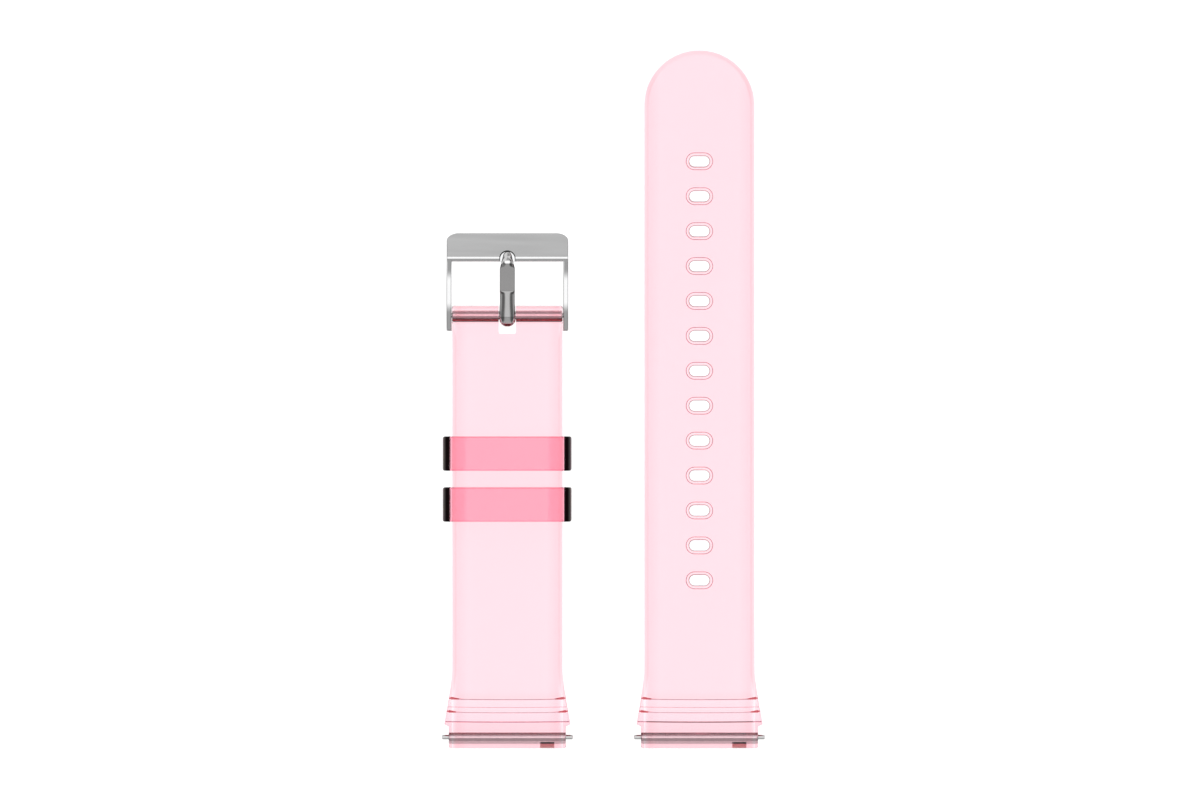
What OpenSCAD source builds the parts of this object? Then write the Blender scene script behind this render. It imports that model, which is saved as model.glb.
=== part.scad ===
// Quick-release band in two loose halves: a buckle half with two sliding
// keepers and a tang buckle, and a hole half with thirteen adjustment holes.
// Millimetres. +Y runs along the straps, +Z is the outer face, z = 0 is the
// surface the band lies on. The origin is under the middle of the pair.

/* [Straps] */
// distance between the lugs that the bars click into
lug_width = 20; // [20:0.5:24]
// width of the moulded strap between the lug end and the free end
strap_w = 18.4; // [17.6:0.1:18.6]
// thickness of the moulded strap
strap_t = 2.2; // [1.8:0.1:2.4]
// length of the hole half, lug end to round tip
hole_half_len = 116.4; // [110:0.2:124]
// length of the buckle half, lug end to buckle end of the moulding
buckle_half_len = 73.81; // [70:0.2:76]
// distance between the centre lines of the two halves as they lie
half_pitch = 32; // [28:1:60]
// outside radius of the moulded tube round each lug bar
lug_tube_r = 1.88; // [1.6:0.02:2.2]
// height of the two ribs across the thick part of each lug end
rib_h = 0.4; // [0.2:0.05:0.6]

/* [Adjustment holes] */
// number of adjustment holes
hole_count = 13; // [7:1:13]
// spacing of the adjustment holes
hole_pitch = 5.82; // [5:0.02:6]
// distance from the round tip to the centre of the first hole
hole_first = 18.54; // [14:0.1:22]
// size of each hole across the strap
hole_wide = 3.43; // [2.9:0.05:3.6]
// size of each hole along the strap
hole_long = 1.82; // [1.6:0.02:2.1]
// width of the shallow rim round each hole
hole_rim = 0.56; // [0.3:0.02:0.7]
// depth of that rim
hole_rim_depth = 0.3; // [0.1:0.05:0.5]

/* [Keepers] */
// length of each keeper along the strap
keeper_len = 5.7; // [4:0.1:7]
// wall thickness of a keeper
keeper_wall = 1.15; // [0.9:0.05:1.4]
// inside height of a keeper, enough for both straps at once
keeper_inner_h = 4.7; // [4.4:0.1:5.4]
// gap between the keepers as they lie
keeper_gap = 2.76; // [2.5:0.05:4]
// distance from the buckle pin back to the upper keeper
keeper_back = 20.14; // [17:0.1:24]

/* [Buckle] */
// height of the buckle pin over the surface
pin_z = 2.35; // [2.3:0.05:2.5]
// distance from the pin to the far edge of the plate
plate_far = 13.73; // [13:0.1:15]
// distance from the pin to the near edge of the plate
plate_near = 9.03; // [8.8:0.01:9.2]
// half thickness of the plate
plate_ht = 0.9; // [0.8:0.05:1]
// thickness of each arm across the band
arm_t = 0.85; // [0.7:0.05:1]
// height of the arms' crown over the pin
arm_h = 1.55; // [1.4:0.05:1.6]
// drop of the arms' tops from the crown to the plate
arm_drop = 1.15; // [0.8:0.05:1.2]
// how far the arms run back past the pin
arm_back = 2.53; // [2.2:0.01:2.7]
// width of the prong
prong_w = 2.5; // [2:0.1:2.6]
// outside radius of the prong's loop
prong_loop_r = 1.84; // [1.6:0.02:1.86]
// width of the slot for the prong in the strap's end
prong_slot_w = 2.88; // [2.8:0.02:3.4]

/* [Bars] */
// outside radius of every spring bar's barrel
bar_r = 0.75; // [0.7:0.01:0.85]
// radius of the bars' tips
tip_r = 0.4; // [0.3:0.01:0.45]
// how far a lug bar's tip stands out past the moulding
tip_out = 1.15; // [0.8:0.05:1.3]
// travel of the quick-release lever
lever_travel = 1.1; // [0.8:0.05:1.15]
// direction of the lever, in degrees down from the lug end's own direction
lever_dip = 50; // [45:1:55]

/* [Hidden] */
$fn = 64;

xa = -half_pitch / 2;
xb = half_pitch / 2;
y_low = -hole_half_len / 2;               // lug end of both halves
y_tip = hole_half_len / 2;                // round tip of the hole half
y_lug = y_low + lug_tube_r;               // axis of the lug bars
z_lug = lug_tube_r;
hw = strap_w / 2;
block_hw = lug_width / 2 - 0.25;          // half width of the tube block
flare_hw = lug_width / 2 + 0.5;           // half width of the shoulder
y_shoulder = y_low + 3.84;
flare_start = y_low + 12.9;
end_tube_r = strap_t / 2 + 0.55;          // moulded tube round the buckle pin
y_end = y_low + buckle_half_len;
y_pin = y_end - end_tube_r;
base_z = pin_z - strap_t / 2;             // underside of the buckle half
settle_from = y_low + 12.2;               // where the hole half leans down to the surface
settle_to = y_low + 24.2;
slot_back = 3.07;                         // prong slot, back from the pin
bar_bore = bar_r - 0.15;                  // inside radius of a barrel
slide_r = bar_bore - 0.03;                // plungers inside a barrel
neck_in = tip_r + 0.07;                   // lug bar tips' tapered necks, inner end
neck_out = tip_r + 0.02;                  // and outer end
lug_half = block_hw - 0.1;                // half length of a lug bar's barrel
buckle_bar_half = hw - 0.05;
spring_r = bar_bore - 0.08;
spring_wire = 0.17;
lever_x = lug_half - 2.45;
lever_r = 0.45;
lever_reach = 2.0;
plug_in = 3.65;                           // length of the fixed tip's plug
plunger_in = 4.45;                        // plunger's inner end, back from the barrel end
buckle_tip_in = 3.35;
keeper_hw = hw + 0.35;                    // inside half width of a keeper
arm_in = hw + 0.1;
arm_out = arm_in + arm_t;
plate_low_y = plate_far - 0.43;           // the plate's lower far edge
arm_nose = 0.9;                           // length of the arms' rounded back ends
arm_back_y = arm_nose - arm_back;
arm_to = plate_near + 0.6;
arm_half = (arm_over(arm_back_y) - arm_under(arm_back_y)) / 2;
arm_mid = (arm_over(arm_back_y) + arm_under(arm_back_y)) / 2;
rest_tilt = asin(pin_z / sqrt(plate_low_y * plate_low_y + plate_ht * plate_ht))
            - atan(plate_ht / plate_low_y);
knuckle_hw = prong_slot_w / 2 - 0.08;     // half width of the prong's rounded knuckle
point_hw = 0.68;                          // half width of the prong's point
point_y = 10.62;                          // and how far it reaches from the pin
seat_r = 1.35;
seat_deep = 0.57;
steel = [0.76, 0.76, 0.77];
pink = [0.99, 0.84, 0.89];
deep_pink = [1.0, 0.66, 0.75];
eps = 0.01;

function ease(t) = (1 - cos(180 * t)) / 2;
function arm_over(y) = arm_h - arm_drop * pow((y - 4.6) / 5.7, 2);
function arm_under(y) = -plate_ht - 0.25 * (1 - (y < 1.5 ? 0 : y > 7.5 ? 1 : ease((y - 1.5) / 6)));
function flare(t) = hw + (flare_hw - hw) * pow(t, 1.3);

// half-width outline of the flared lug end, from the straight strap to the shoulder
function flare_side(s) = [for (i = [0 : 14])
    [s * flare(i / 14), flare_start + (y_shoulder + 0.3 - flare_start) * i / 14]];

module along_x(x0, x1) {
    translate([x0, 0, 0]) rotate([90, 0, 90]) linear_extrude(x1 - x0) children();
}

module rod_x(x0, x1, r) {
    translate([x0, 0, 0]) rotate([0, 90, 0]) cylinder(h = x1 - x0, r = r);
}

module rounded_square(w, h, r) {
    square([w - 2 * r, h], center = true);
    square([w, h - 2 * r], center = true);
    for (sx = [-1, 1], sy = [-1, 1])
        translate([sx * (w / 2 - r), sy * (h / 2 - r)]) circle(r = r);
}

module oblong(w, h) {
    square([w - h, h], center = true);
    for (s = [-1, 1]) translate([s * (w - h) / 2, 0]) circle(r = h / 2);
}

// plan outline of the flared lug end
module flare_plan() {
    polygon(concat(flare_side(1),
        [[flare_hw - 0.15, y_shoulder + 0.06], [block_hw + 0.12, y_shoulder - 0.06], [block_hw, y_shoulder - 0.3],
         [-block_hw, y_shoulder - 0.3], [-block_hw - 0.12, y_shoulder - 0.06], [-flare_hw + 0.15, y_shoulder + 0.06]],
        [for (i = [14 : -1 : 0]) flare_side(-1)[i]]));
}

// side profile of the lug end: two ribs and a groove on top of the strap
function rib_top() = [
    [y_low + 2.2, 2 * lug_tube_r - 0.02],
    [y_low + 3.84, base_z + strap_t + 0.1],
    [y_low + 4.45, base_z + strap_t + 0.08],
    [y_low + 4.68, base_z + strap_t + rib_h],
    [y_low + 6.00, base_z + strap_t + rib_h],
    [y_low + 6.20, base_z + strap_t + 0.04],
    [y_low + 6.90, base_z + strap_t + 0.04],
    [y_low + 7.10, base_z + strap_t + rib_h],
    [y_low + 8.20, base_z + strap_t + rib_h],
    [y_low + 8.40, base_z + strap_t]];

// underside of the lug end, curving up from the tube to the strap
function lug_under() = [for (i = [8 : -1 : 0])
    [y_low + 2.2 + (7.6 * i) / 8, 0.02 + (base_z - 0.02) * ease(i / 8)]];

// the lug bar's bore and the window for its lever
module lug_cuts() {
    translate([0, y_lug, z_lug]) rod_x(-block_hw - 1, block_hw + 1, bar_r);
    translate([lever_x - lever_travel - 0.63, y_low - 1, -1])
        cube([lever_travel + 1.25, y_lug - y_low + 1, z_lug + 1 + 0.42]);
}

module lug_tube_block() {
    intersection() {
        union() {
            translate([0, y_lug, z_lug]) rod_x(-block_hw, block_hw, lug_tube_r);
            along_x(-block_hw, block_hw)
                polygon([[y_lug, 0], [y_shoulder, 0.16], [y_shoulder, base_z + strap_t + 0.1], [y_lug, 2 * lug_tube_r]]);
        }
        translate([0, y_low + 5, -1]) linear_extrude(8) rounded_square(2 * block_hw, 10, 0.35);
    }
}

module buckle_half_solid() {
    difference() {
        union() {
            intersection() {
                translate([0, 0, -1]) linear_extrude(10) union() {
                    translate([-hw, flare_start - eps]) square([strap_w, y_pin - flare_start + eps]);
                    flare_plan();
                }
                along_x(-flare_hw - 1, flare_hw + 1)
                    polygon(concat(rib_top(), [[y_pin, base_z + strap_t], [y_pin, base_z]], lug_under()));
            }
            lug_tube_block();
            translate([0, y_pin, pin_z]) rod_x(-hw, hw, end_tube_r);
        }
        lug_cuts();
        translate([0, y_pin, pin_z]) rod_x(-hw - 1, hw + 1, bar_r);
        // slot for the prong, with rounded inner corners
        translate([0, y_pin - slot_back + 5, -1]) linear_extrude(10) rounded_square(prong_slot_w, 10, 0.3);
    }
}

function hole_top() = [for (i = [0 : 10])
    [settle_from + (settle_to - settle_from) * i / 10, base_z * (1 - ease(i / 10)) + strap_t]];
function hole_under() = [for (i = [10 : -1 : 0])
    [settle_from + (settle_to - settle_from) * i / 10, base_z * (1 - ease(i / 10))]];

module hole_half_solid() {
    difference() {
        union() {
            intersection() {
                translate([0, 0, -1]) linear_extrude(10) union() {
                    translate([-hw, flare_start - eps]) square([strap_w, y_tip - hw - flare_start + eps]);
                    translate([0, y_tip - hw]) circle(r = hw, $fn = 128);
                    flare_plan();
                }
                along_x(-flare_hw - 1, flare_hw + 1)
                    polygon(concat(rib_top(), hole_top(),
                        [[y_tip - 0.5, strap_t], [y_tip - 0.12, strap_t - 0.18], [y_tip, strap_t - 0.6],
                         [y_tip, 0.6], [y_tip - 0.12, 0.18], [y_tip - 0.5, 0]],
                        hole_under(), lug_under()));
            }
            lug_tube_block();
        }
        lug_cuts();
        for (i = [0 : hole_count - 1]) translate([0, y_tip - hole_first - i * hole_pitch, 0]) {
            translate([0, 0, -1]) linear_extrude(strap_t + 2) oblong(hole_wide, hole_long);
            translate([0, 0, strap_t - hole_rim_depth]) linear_extrude(2)
                oblong(hole_wide + 2 * hole_rim, hole_long + 2 * hole_rim);
        }
    }
}

module strap_buckle_side() color(pink) translate([xa, 0, 0]) buckle_half_solid();
module strap_hole_side() color(pink) translate([xb, 0, 0]) hole_half_solid();

// a ring that holds the loose end of the hole half
module keeper_ring(y0) {
    translate([xa, y0 + keeper_len, keeper_wall + keeper_inner_h / 2]) rotate([90, 0, 0])
        linear_extrude(keeper_len) difference() {
            rounded_square(2 * (keeper_hw + keeper_wall), keeper_inner_h + 2 * keeper_wall, keeper_wall);
            rounded_square(2 * keeper_hw, keeper_inner_h, 0.25);
        }
}
keeper_upper_y = y_pin - keeper_back - keeper_len;
module keeper_upper() color(deep_pink) keeper_ring(keeper_upper_y);
module keeper_lower() color(deep_pink) keeper_ring(keeper_upper_y - keeper_gap - keeper_len);

// places what turns on the buckle pin: y out to the plate, z up, at the resting tilt
module on_pin() {
    translate([xa, y_pin, pin_z]) rotate([-rest_tilt, 0, 0]) children();
}

module quarter_ellipse(rx, ry) {
    polygon(concat([[0, 0]], [for (a = [0 : 10 : 90]) [rx * cos(a), ry * sin(a)]]));
}

module buckle_frame() color(steel) on_pin() difference() {
    union() {
        // plate: bevelled near edge, softened far edge, rounded far corners
        intersection() {
            along_x(-arm_out, arm_out) polygon([
                [plate_near, -plate_ht], [plate_near, plate_ht - 0.3], [plate_near + 0.4, plate_ht - 0.05], [plate_near + 0.7, plate_ht],
                [plate_far - 0.14, plate_ht], [plate_far, plate_ht - 0.14],
                [plate_far, -plate_ht + 0.4], [plate_low_y, -plate_ht]]);
            translate([0, 0, -5]) linear_extrude(10) union() {
                translate([-arm_out, plate_near]) square([2 * arm_out, plate_far - plate_near - 1.3]);
                translate([-arm_out + 2, plate_near]) square([2 * arm_out - 4, plate_far - plate_near]);
                for (s = [-1, 1]) translate([s * (arm_out - 2), plate_far - 1.3])
                    mirror([s < 0 ? 1 : 0, 0]) quarter_ellipse(2, 1.3);
            }
        }
        // arms, arched on top, with rounded back ends, running into the plate
        for (s = [-1, 1]) along_x(s > 0 ? arm_in : -arm_out, s > 0 ? arm_out : -arm_in)
            polygon(concat(
                [for (i = [0 : 16]) let (y = arm_back_y + (arm_to - arm_back_y) * i / 16) [y, arm_under(y)]],
                [for (i = [24 : -1 : 0]) let (y = arm_back_y + (arm_to - arm_back_y) * i / 24) [y, y > plate_near + 0.3 ? plate_ht - 0.35 : arm_over(y)]],
                [for (a = [105 : 15 : 180]) [arm_back_y + arm_nose * cos(a), arm_mid + arm_half * (0.42 + 0.58 * sin(a))]],
                [for (a = [180 : 15 : 255]) [arm_back_y + arm_nose * cos(a), arm_mid - arm_half * (0.42 - 0.58 * sin(a))]]));
    }
    // blind holes for the bar's tips
    for (s = [-1, 1]) rod_x(s > 0 ? arm_in - 0.5 : -arm_in - 0.6, s > 0 ? arm_in + 0.6 : -arm_in + 0.5, tip_r + 0.04);
    // seat for the prong's point: a flat-bottomed pocket open towards the pin, with drafted walls
    translate([0, plate_near + 0.42, plate_ht - seat_deep]) {
        cylinder(h = 2, r1 = seat_r - 0.08, r2 = seat_r + 0.2);
        rotate([90, 0, 0]) linear_extrude(3)
            polygon([[-seat_r + 0.08, 0], [seat_r - 0.08, 0], [seat_r + 0.2, 2], [-seat_r - 0.2, 2]]);
    }
}

// plan outline of the prong, right half, from the knuckle to the point
function prong_side() = concat(
    [for (i = [0 : 12]) let (y = -prong_loop_r * cos(90 * i / 12)) [knuckle_hw * sqrt(1 - pow(y / (prong_loop_r + 0.09), 2)), y]],
    [for (i = [1 : 4]) [knuckle_hw - (knuckle_hw - prong_w / 2) * ease(i / 4), 0.5 * i]],
    [for (a = [0 : 10 : 90]) [point_hw + (prong_w / 2 - point_hw) * cos(a), 7.6 + 1.5 * sin(a)]],
    [for (a = [0 : 15 : 90]) [point_hw * cos(a), point_y - point_hw + point_hw * sin(a)]]);

module buckle_prong() color(steel) on_pin() difference() {
    intersection() {
        union() {
            rod_x(-2, 2, prong_loop_r);
            // side profile: straight body, bent down at the end into the seat
            along_x(-2, 2) polygon([
                [0, 0.66], [8.2, 0.63], [8.75, 0.48], [9.2, 0.39], [9.6, 0.36], [10.45, 0.37],
                [point_y, 0.55], [point_y, 0.75], [10.5, 0.98], [10.2, 1.12], [9.7, 1.24], [9.2, 1.38],
                [8.75, 1.6], [8.3, 1.77], [7.9, 1.79], [0, prong_loop_r]]);
        }
        translate([0, 0, -5]) linear_extrude(10)
            polygon(concat(prong_side(), [for (q = [len(prong_side()) - 1 : -1 : 0]) [-prong_side()[q][0] - eps / 10, prong_side()[q][1]]]));
    }
    rod_x(-prong_w, prong_w, bar_r + 0.05);
}

// barrel of a spring bar, centred, with end caps whose holes pass the tips
module barrel(half, left_cap, right_cap, hole_r) {
    difference() {
        rod_x(-half, half, bar_r);
        rod_x(left_cap ? -half + 0.35 : -half - 1, right_cap ? half - 0.35 : half + 1, bar_bore);
        rod_x(-half - 1, half + 1, hole_r);
    }
}

// compression spring along x: one wire section swept by a twisted extrusion
module spring(x0, x1) {
    turns = round((x1 - x0) / 0.85);
    translate([x0, 0, 0]) rotate([0, 90, 0])
        linear_extrude(height = x1 - x0, twist = -360 * turns, slices = 14 * turns, segments = 8, $fn = 8)
            polygon(concat(
                [for (a = [-34 : 34 : 34]) [spring_r * cos(a), spring_r * sin(a)]],
                [for (a = [34 : -34 : -34]) [(spring_r - spring_wire) * cos(a), (spring_r - spring_wire) * sin(a)]]));
}

module at_pin() translate([xa, y_pin, pin_z]) children();

module buckle_bar_tube() color(steel) at_pin() barrel(buckle_bar_half, true, true, tip_r + 0.04);
module buckle_tip(s) {
    mirror([s < 0 ? 1 : 0, 0, 0]) {
        rod_x(buckle_bar_half - buckle_tip_in, buckle_bar_half - 0.4, slide_r);
        rod_x(buckle_bar_half - 0.5, arm_in + 0.5, tip_r);
        translate([arm_in + 0.5, 0, 0]) rotate([0, 90, 0]) cylinder(h = 0.08, r1 = tip_r, r2 = tip_r - 0.1);
    }
}
module buckle_bar_tip_left() color(steel) at_pin() buckle_tip(-1);
module buckle_bar_tip_right() color(steel) at_pin() buckle_tip(1);
module buckle_bar_spring() color(steel) at_pin()
    spring(-buckle_bar_half + buckle_tip_in, buckle_bar_half - buckle_tip_in);

// the quick-release bar in each lug end
module at_lug(xc) translate([xc, y_lug, z_lug]) children();
module toward_lever() rotate([90 + lever_dip, 0, 0]) children();

module lug_tube() difference() {
    barrel(lug_half, false, true, neck_in + 0.03);
    translate([lever_x - lever_travel - 0.52, 0, 0]) toward_lever()
        translate([0, -0.5, 0]) cube([lever_travel + 1.04, 1, 3]);
}
module lug_fixed_tip() {
    rod_x(-lug_half, -lug_half + plug_in, bar_bore);
    translate([-block_hw, 0, 0]) rotate([0, 90, 0]) cylinder(h = 0.5, r1 = neck_out, r2 = neck_in);
    rod_x(-block_hw - tip_out + 0.1, -block_hw + 0.1, tip_r);
    translate([-block_hw - tip_out + 0.1, 0, 0]) rotate([0, -90, 0]) cylinder(h = 0.1, r1 = tip_r, r2 = tip_r - 0.1);
}
module lug_plunger() difference() {
    union() {
        rod_x(lug_half - plunger_in, lug_half - 0.4, slide_r);
        translate([lug_half - 0.4, 0, 0]) rotate([0, 90, 0]) cylinder(h = block_hw - lug_half + 0.4, r1 = neck_in, r2 = neck_out);
        rod_x(block_hw - 0.1, block_hw + tip_out - 0.1, tip_r);
        translate([block_hw + tip_out - 0.1, 0, 0]) rotate([0, 90, 0]) cylinder(h = 0.1, r1 = tip_r, r2 = tip_r - 0.1);
    }
    translate([lever_x, 0, 0]) toward_lever() translate([0, 0, -0.3]) cylinder(h = 2, r = 0.22);
}
module lug_lever() translate([lever_x, 0, 0]) toward_lever() {
    translate([0, 0, -0.3]) cylinder(h = 1, r = 0.22);
    translate([0, 0, slide_r + 0.03]) cylinder(h = lever_reach - slide_r - 0.13, r = lever_r);
    translate([0, 0, lever_reach - 0.1]) cylinder(h = 0.1, r1 = lever_r, r2 = lever_r - 0.1);
}
module lug_spring() spring(-lug_half + plug_in, lug_half - plunger_in);

module lug_bar_a_tube() color(steel) at_lug(xa) lug_tube();
module lug_bar_a_fixed_tip() color(steel) at_lug(xa) lug_fixed_tip();
module lug_bar_a_plunger() color(steel) at_lug(xa) lug_plunger();
module lug_bar_a_lever() color(steel) at_lug(xa) lug_lever();
module lug_bar_a_spring() color(steel) at_lug(xa) lug_spring();
module lug_bar_b_tube() color(steel) at_lug(xb) lug_tube();
module lug_bar_b_fixed_tip() color(steel) at_lug(xb) lug_fixed_tip();
module lug_bar_b_plunger() color(steel) at_lug(xb) lug_plunger();
module lug_bar_b_lever() color(steel) at_lug(xb) lug_lever();
module lug_bar_b_spring() color(steel) at_lug(xb) lug_spring();

strap_buckle_side();
strap_hole_side();
buckle_frame();
buckle_prong();
buckle_bar_tube();
buckle_bar_tip_left();
buckle_bar_tip_right();
buckle_bar_spring();
keeper_upper();
keeper_lower();
lug_bar_a_tube();
lug_bar_a_fixed_tip();
lug_bar_a_plunger();
lug_bar_a_lever();
lug_bar_a_spring();
lug_bar_b_tube();
lug_bar_b_fixed_tip();
lug_bar_b_plunger();
lug_bar_b_lever();
lug_bar_b_spring();
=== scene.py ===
# Looks for a two-piece translucent wrist band: moulded straps, keepers, tang buckle and spring bars.
# Lengths in this file are millimetres until a mesh is made, then metres.
import math
import bpy
import bmesh
import numpy as np
from mathutils import Matrix, Vector


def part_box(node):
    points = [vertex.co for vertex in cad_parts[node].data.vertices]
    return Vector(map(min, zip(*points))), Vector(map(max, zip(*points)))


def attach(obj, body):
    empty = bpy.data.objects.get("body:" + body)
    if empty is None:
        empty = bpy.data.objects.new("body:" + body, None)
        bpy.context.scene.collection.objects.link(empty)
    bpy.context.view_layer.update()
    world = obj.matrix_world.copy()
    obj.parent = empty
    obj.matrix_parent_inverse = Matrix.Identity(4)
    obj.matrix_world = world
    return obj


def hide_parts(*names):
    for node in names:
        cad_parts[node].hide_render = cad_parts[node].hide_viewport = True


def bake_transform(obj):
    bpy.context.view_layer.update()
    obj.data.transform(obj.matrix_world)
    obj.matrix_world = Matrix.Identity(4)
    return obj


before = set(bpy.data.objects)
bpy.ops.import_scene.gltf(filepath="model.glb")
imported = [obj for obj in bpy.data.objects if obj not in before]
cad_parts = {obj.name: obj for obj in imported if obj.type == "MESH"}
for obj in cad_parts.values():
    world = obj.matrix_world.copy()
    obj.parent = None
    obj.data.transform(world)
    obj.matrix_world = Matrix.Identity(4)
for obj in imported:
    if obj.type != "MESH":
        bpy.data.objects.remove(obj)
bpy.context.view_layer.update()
MM = 0.001


def mm_box(node):
    lo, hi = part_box(node)
    return [v * 1000 for v in lo], [v * 1000 for v in hi]


# ---------------------------------------------------------------- places, from the CAD
A_LO, A_HI = mm_box("strap_buckle_side")
B_LO, B_HI = mm_box("strap_hole_side")
XA = (A_LO[0] + A_HI[0]) / 2
XB = (B_LO[0] + B_HI[0]) / 2
Y_LOW = A_LO[1]
Y_TIP = B_HI[1]
Y_END = A_HI[1]
FLARE_HW = (A_HI[0] - A_LO[0]) / 2
HW = 9.2
T = 2.2
TUBE_R = 1.88
Y_LUG = Y_LOW + TUBE_R
Z_LUG = TUBE_R
BLOCK_HW = FLARE_HW - 0.75
Y_SHOULDER = Y_LOW + 3.84
FLARE_START = Y_LOW + 12.9
END_R = T / 2 + 0.55
Y_PIN = Y_END - END_R
PIN_Z = 2.35
BASE_Z = PIN_Z - T / 2
BAR_R = 0.75
TIP_R = 0.4
NECK_IN, NECK_OUT = 0.47, 0.42
LUG_HALF = BLOCK_HW - 0.1
PIN_HALF = HW - 0.05
LEVER_X = LUG_HALF - 2.45
TRAVEL = 1.1
ARM_IN = HW + 0.1
ARM_OUT = ARM_IN + 0.85
PLATE_FAR, PLATE_NEAR, PLATE_HT = 13.73, 9.03, 0.9
LOW_Y = PLATE_FAR - 0.43
TILT = math.asin(PIN_Z / math.hypot(LOW_Y, PLATE_HT)) - math.atan(PLATE_HT / LOW_Y)
PIN = Matrix.Translation((XA, Y_PIN, PIN_Z)) @ Matrix.Rotation(-TILT, 4, "X")


# ---------------------------------------------------------------- mesh helpers
def clean(bm, dist=2e-4):
    bmesh.ops.remove_doubles(bm, verts=bm.verts, dist=dist)
    bmesh.ops.dissolve_degenerate(bm, edges=bm.edges, dist=dist / 2)
    loose = [v for v in bm.verts if not v.link_faces]
    if loose:
        bmesh.ops.delete(bm, geom=loose, context="VERTS")
    bmesh.ops.recalc_face_normals(bm, faces=bm.faces)


def obj_from(name, verts, faces, mats=(), face_mats=None, at=None):
    """a mesh object from millimetre points"""
    me = bpy.data.meshes.new(name)
    pts = [Vector(v) for v in verts]
    if at is not None:
        pts = [at @ p for p in pts]
    bm = bmesh.new()
    bv = [bm.verts.new(p) for p in pts]
    for i, f in enumerate(faces):
        if len(set(f)) < 3:
            continue
        try:
            bf = bm.faces.new([bv[j] for j in f])
        except ValueError:
            continue
        if face_mats:
            bf.material_index = face_mats[i]
    clean(bm)
    bmesh.ops.scale(bm, vec=(MM, MM, MM), verts=bm.verts)
    bm.to_mesh(me)
    bm.free()
    ob = bpy.data.objects.new(name, me)
    bpy.context.scene.collection.objects.link(ob)
    for m in mats:
        me.materials.append(m)
    return ob


def loft(rings, cap=True, closed=False):
    """rings of equal length -> verts, faces"""
    n = len(rings[0])
    verts = [p for r in rings for p in r]
    faces = []
    last = len(rings) if closed else len(rings) - 1
    for i in range(last):
        a, b = i * n, ((i + 1) % len(rings)) * n
        for j in range(n):
            k = (j + 1) % n
            faces.append((a + j, a + k, b + k, b + j))
    if cap and not closed:
        faces.append(tuple(range(n - 1, -1, -1)))
        faces.append(tuple((len(rings) - 1) * n + j for j in range(n)))
    return verts, faces


def shade(ob, angle=32, weighted=True):
    me = ob.data
    for p in me.polygons:
        p.use_smooth = True
    me.set_sharp_from_angle(angle=math.radians(angle))
    if weighted:
        m = ob.modifiers.new("normals", "WEIGHTED_NORMAL")
        m.mode = "FACE_AREA"
        m.weight = 60
        m.keep_sharp = True
        apply_all(ob)
    return ob


def apply_all(ob):
    dg = bpy.context.evaluated_depsgraph_get()
    me = bpy.data.meshes.new_from_object(ob.evaluated_get(dg), preserve_all_data_layers=True, depsgraph=dg)
    old = ob.data
    ob.modifiers.clear()
    ob.data = me
    me.name = old.name
    bpy.data.meshes.remove(old)


def cut(ob, cutters, how="DIFFERENCE"):
    for c in cutters:
        m = ob.modifiers.new("cut", "BOOLEAN")
        m.operation = how
        m.solver = "EXACT"
        m.object = c
    apply_all(ob)
    for c in cutters:
        me = c.data
        bpy.data.objects.remove(c)
        bpy.data.meshes.remove(me)
    bm = bmesh.new()
    bm.from_mesh(ob.data)
    bmesh.ops.remove_doubles(bm, verts=bm.verts, dist=1e-7)
    bmesh.ops.dissolve_degenerate(bm, edges=bm.edges, dist=1e-7)
    bm.to_mesh(ob.data)
    bm.free()
    return ob


def bevel(ob, width, segments=2, angle=40):
    m = ob.modifiers.new("bevel", "BEVEL")
    m.width = width * MM
    m.segments = segments
    m.limit_method = "ANGLE"
    m.angle_limit = math.radians(angle)
    m.use_clamp_overlap = True
    m.harden_normals = False
    apply_all(ob)
    return ob


def lathe_x(profile, seg=48, centre=(0, 0, 0), closed=False):
    """profile of (x, r) turned about the x axis through centre"""
    rings = []
    for x, r in profile:
        rings.append([(centre[0] + x, centre[1] + r * math.cos(2 * math.pi * j / seg),
                       centre[2] + r * math.sin(2 * math.pi * j / seg)) for j in range(seg)])
    return loft(rings, cap=not closed, closed=closed)


def rounded_loop(w, h, r, k=6, mx=1, mz=1):
    """closed loop of a rounded rectangle, half sizes w and h, anticlockwise from its lower right straight"""
    pts = []
    corners = [(w - r, h - r, 0), (-w + r, h - r, 90), (-w + r, -h + r, 180), (w - r, -h + r, 270)]
    for ci, (cx, cy, a0) in enumerate(corners):
        for i in range(k + 1):
            a = math.radians(a0 + 90 * i / k)
            pts.append((cx + r * math.cos(a), cy + r * math.sin(a)))
        nx, ny, na = corners[(ci + 1) % 4]
        ex, ey = nx + r * math.cos(math.radians(na)), ny + r * math.sin(math.radians(na))
        m = mx if ci % 2 == 0 else mz
        sx, sy = pts[-1]
        for i in range(1, m):
            pts.append((sx + (ex - sx) * i / m, sy + (ey - sy) * i / m))
    return pts


def ease(t):
    t = min(max(t, 0.0), 1.0)
    return (1 - math.cos(math.pi * t)) / 2


def section(w, b, t, r, mx=12, k=7):
    """closed ring of a strap's cross-section as (x, z); mx is even so that x = 0 is on it"""
    r = max(min(r, (t - b) / 2 * 0.985, w * 0.98), 0.004)
    pts = []
    for i in range(mx + 1):
        pts.append((-(w - r) + 2 * (w - r) * i / mx, t))
    for i in range(1, k + 1):
        a = math.radians(90 - 90 * i / k)
        pts.append((w - r + r * math.cos(a), t - r + r * math.sin(a)))
    for i in range(k + 1):
        a = math.radians(-90 * i / k)
        pts.append((w - r + r * math.cos(a), b + r + r * math.sin(a)))
    for i in range(1, mx + 1):
        pts.append((w - r - 2 * (w - r) * i / mx, b))
    for i in range(1, k + 1):
        a = math.radians(-90 - 90 * i / k)
        pts.append((-(w - r) + r * math.cos(a), b + r + r * math.sin(a)))
    for i in range(k):
        a = math.radians(180 - 90 * i / k)
        pts.append((-(w - r) + r * math.cos(a), t - r + r * math.sin(a)))
    return pts


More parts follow.
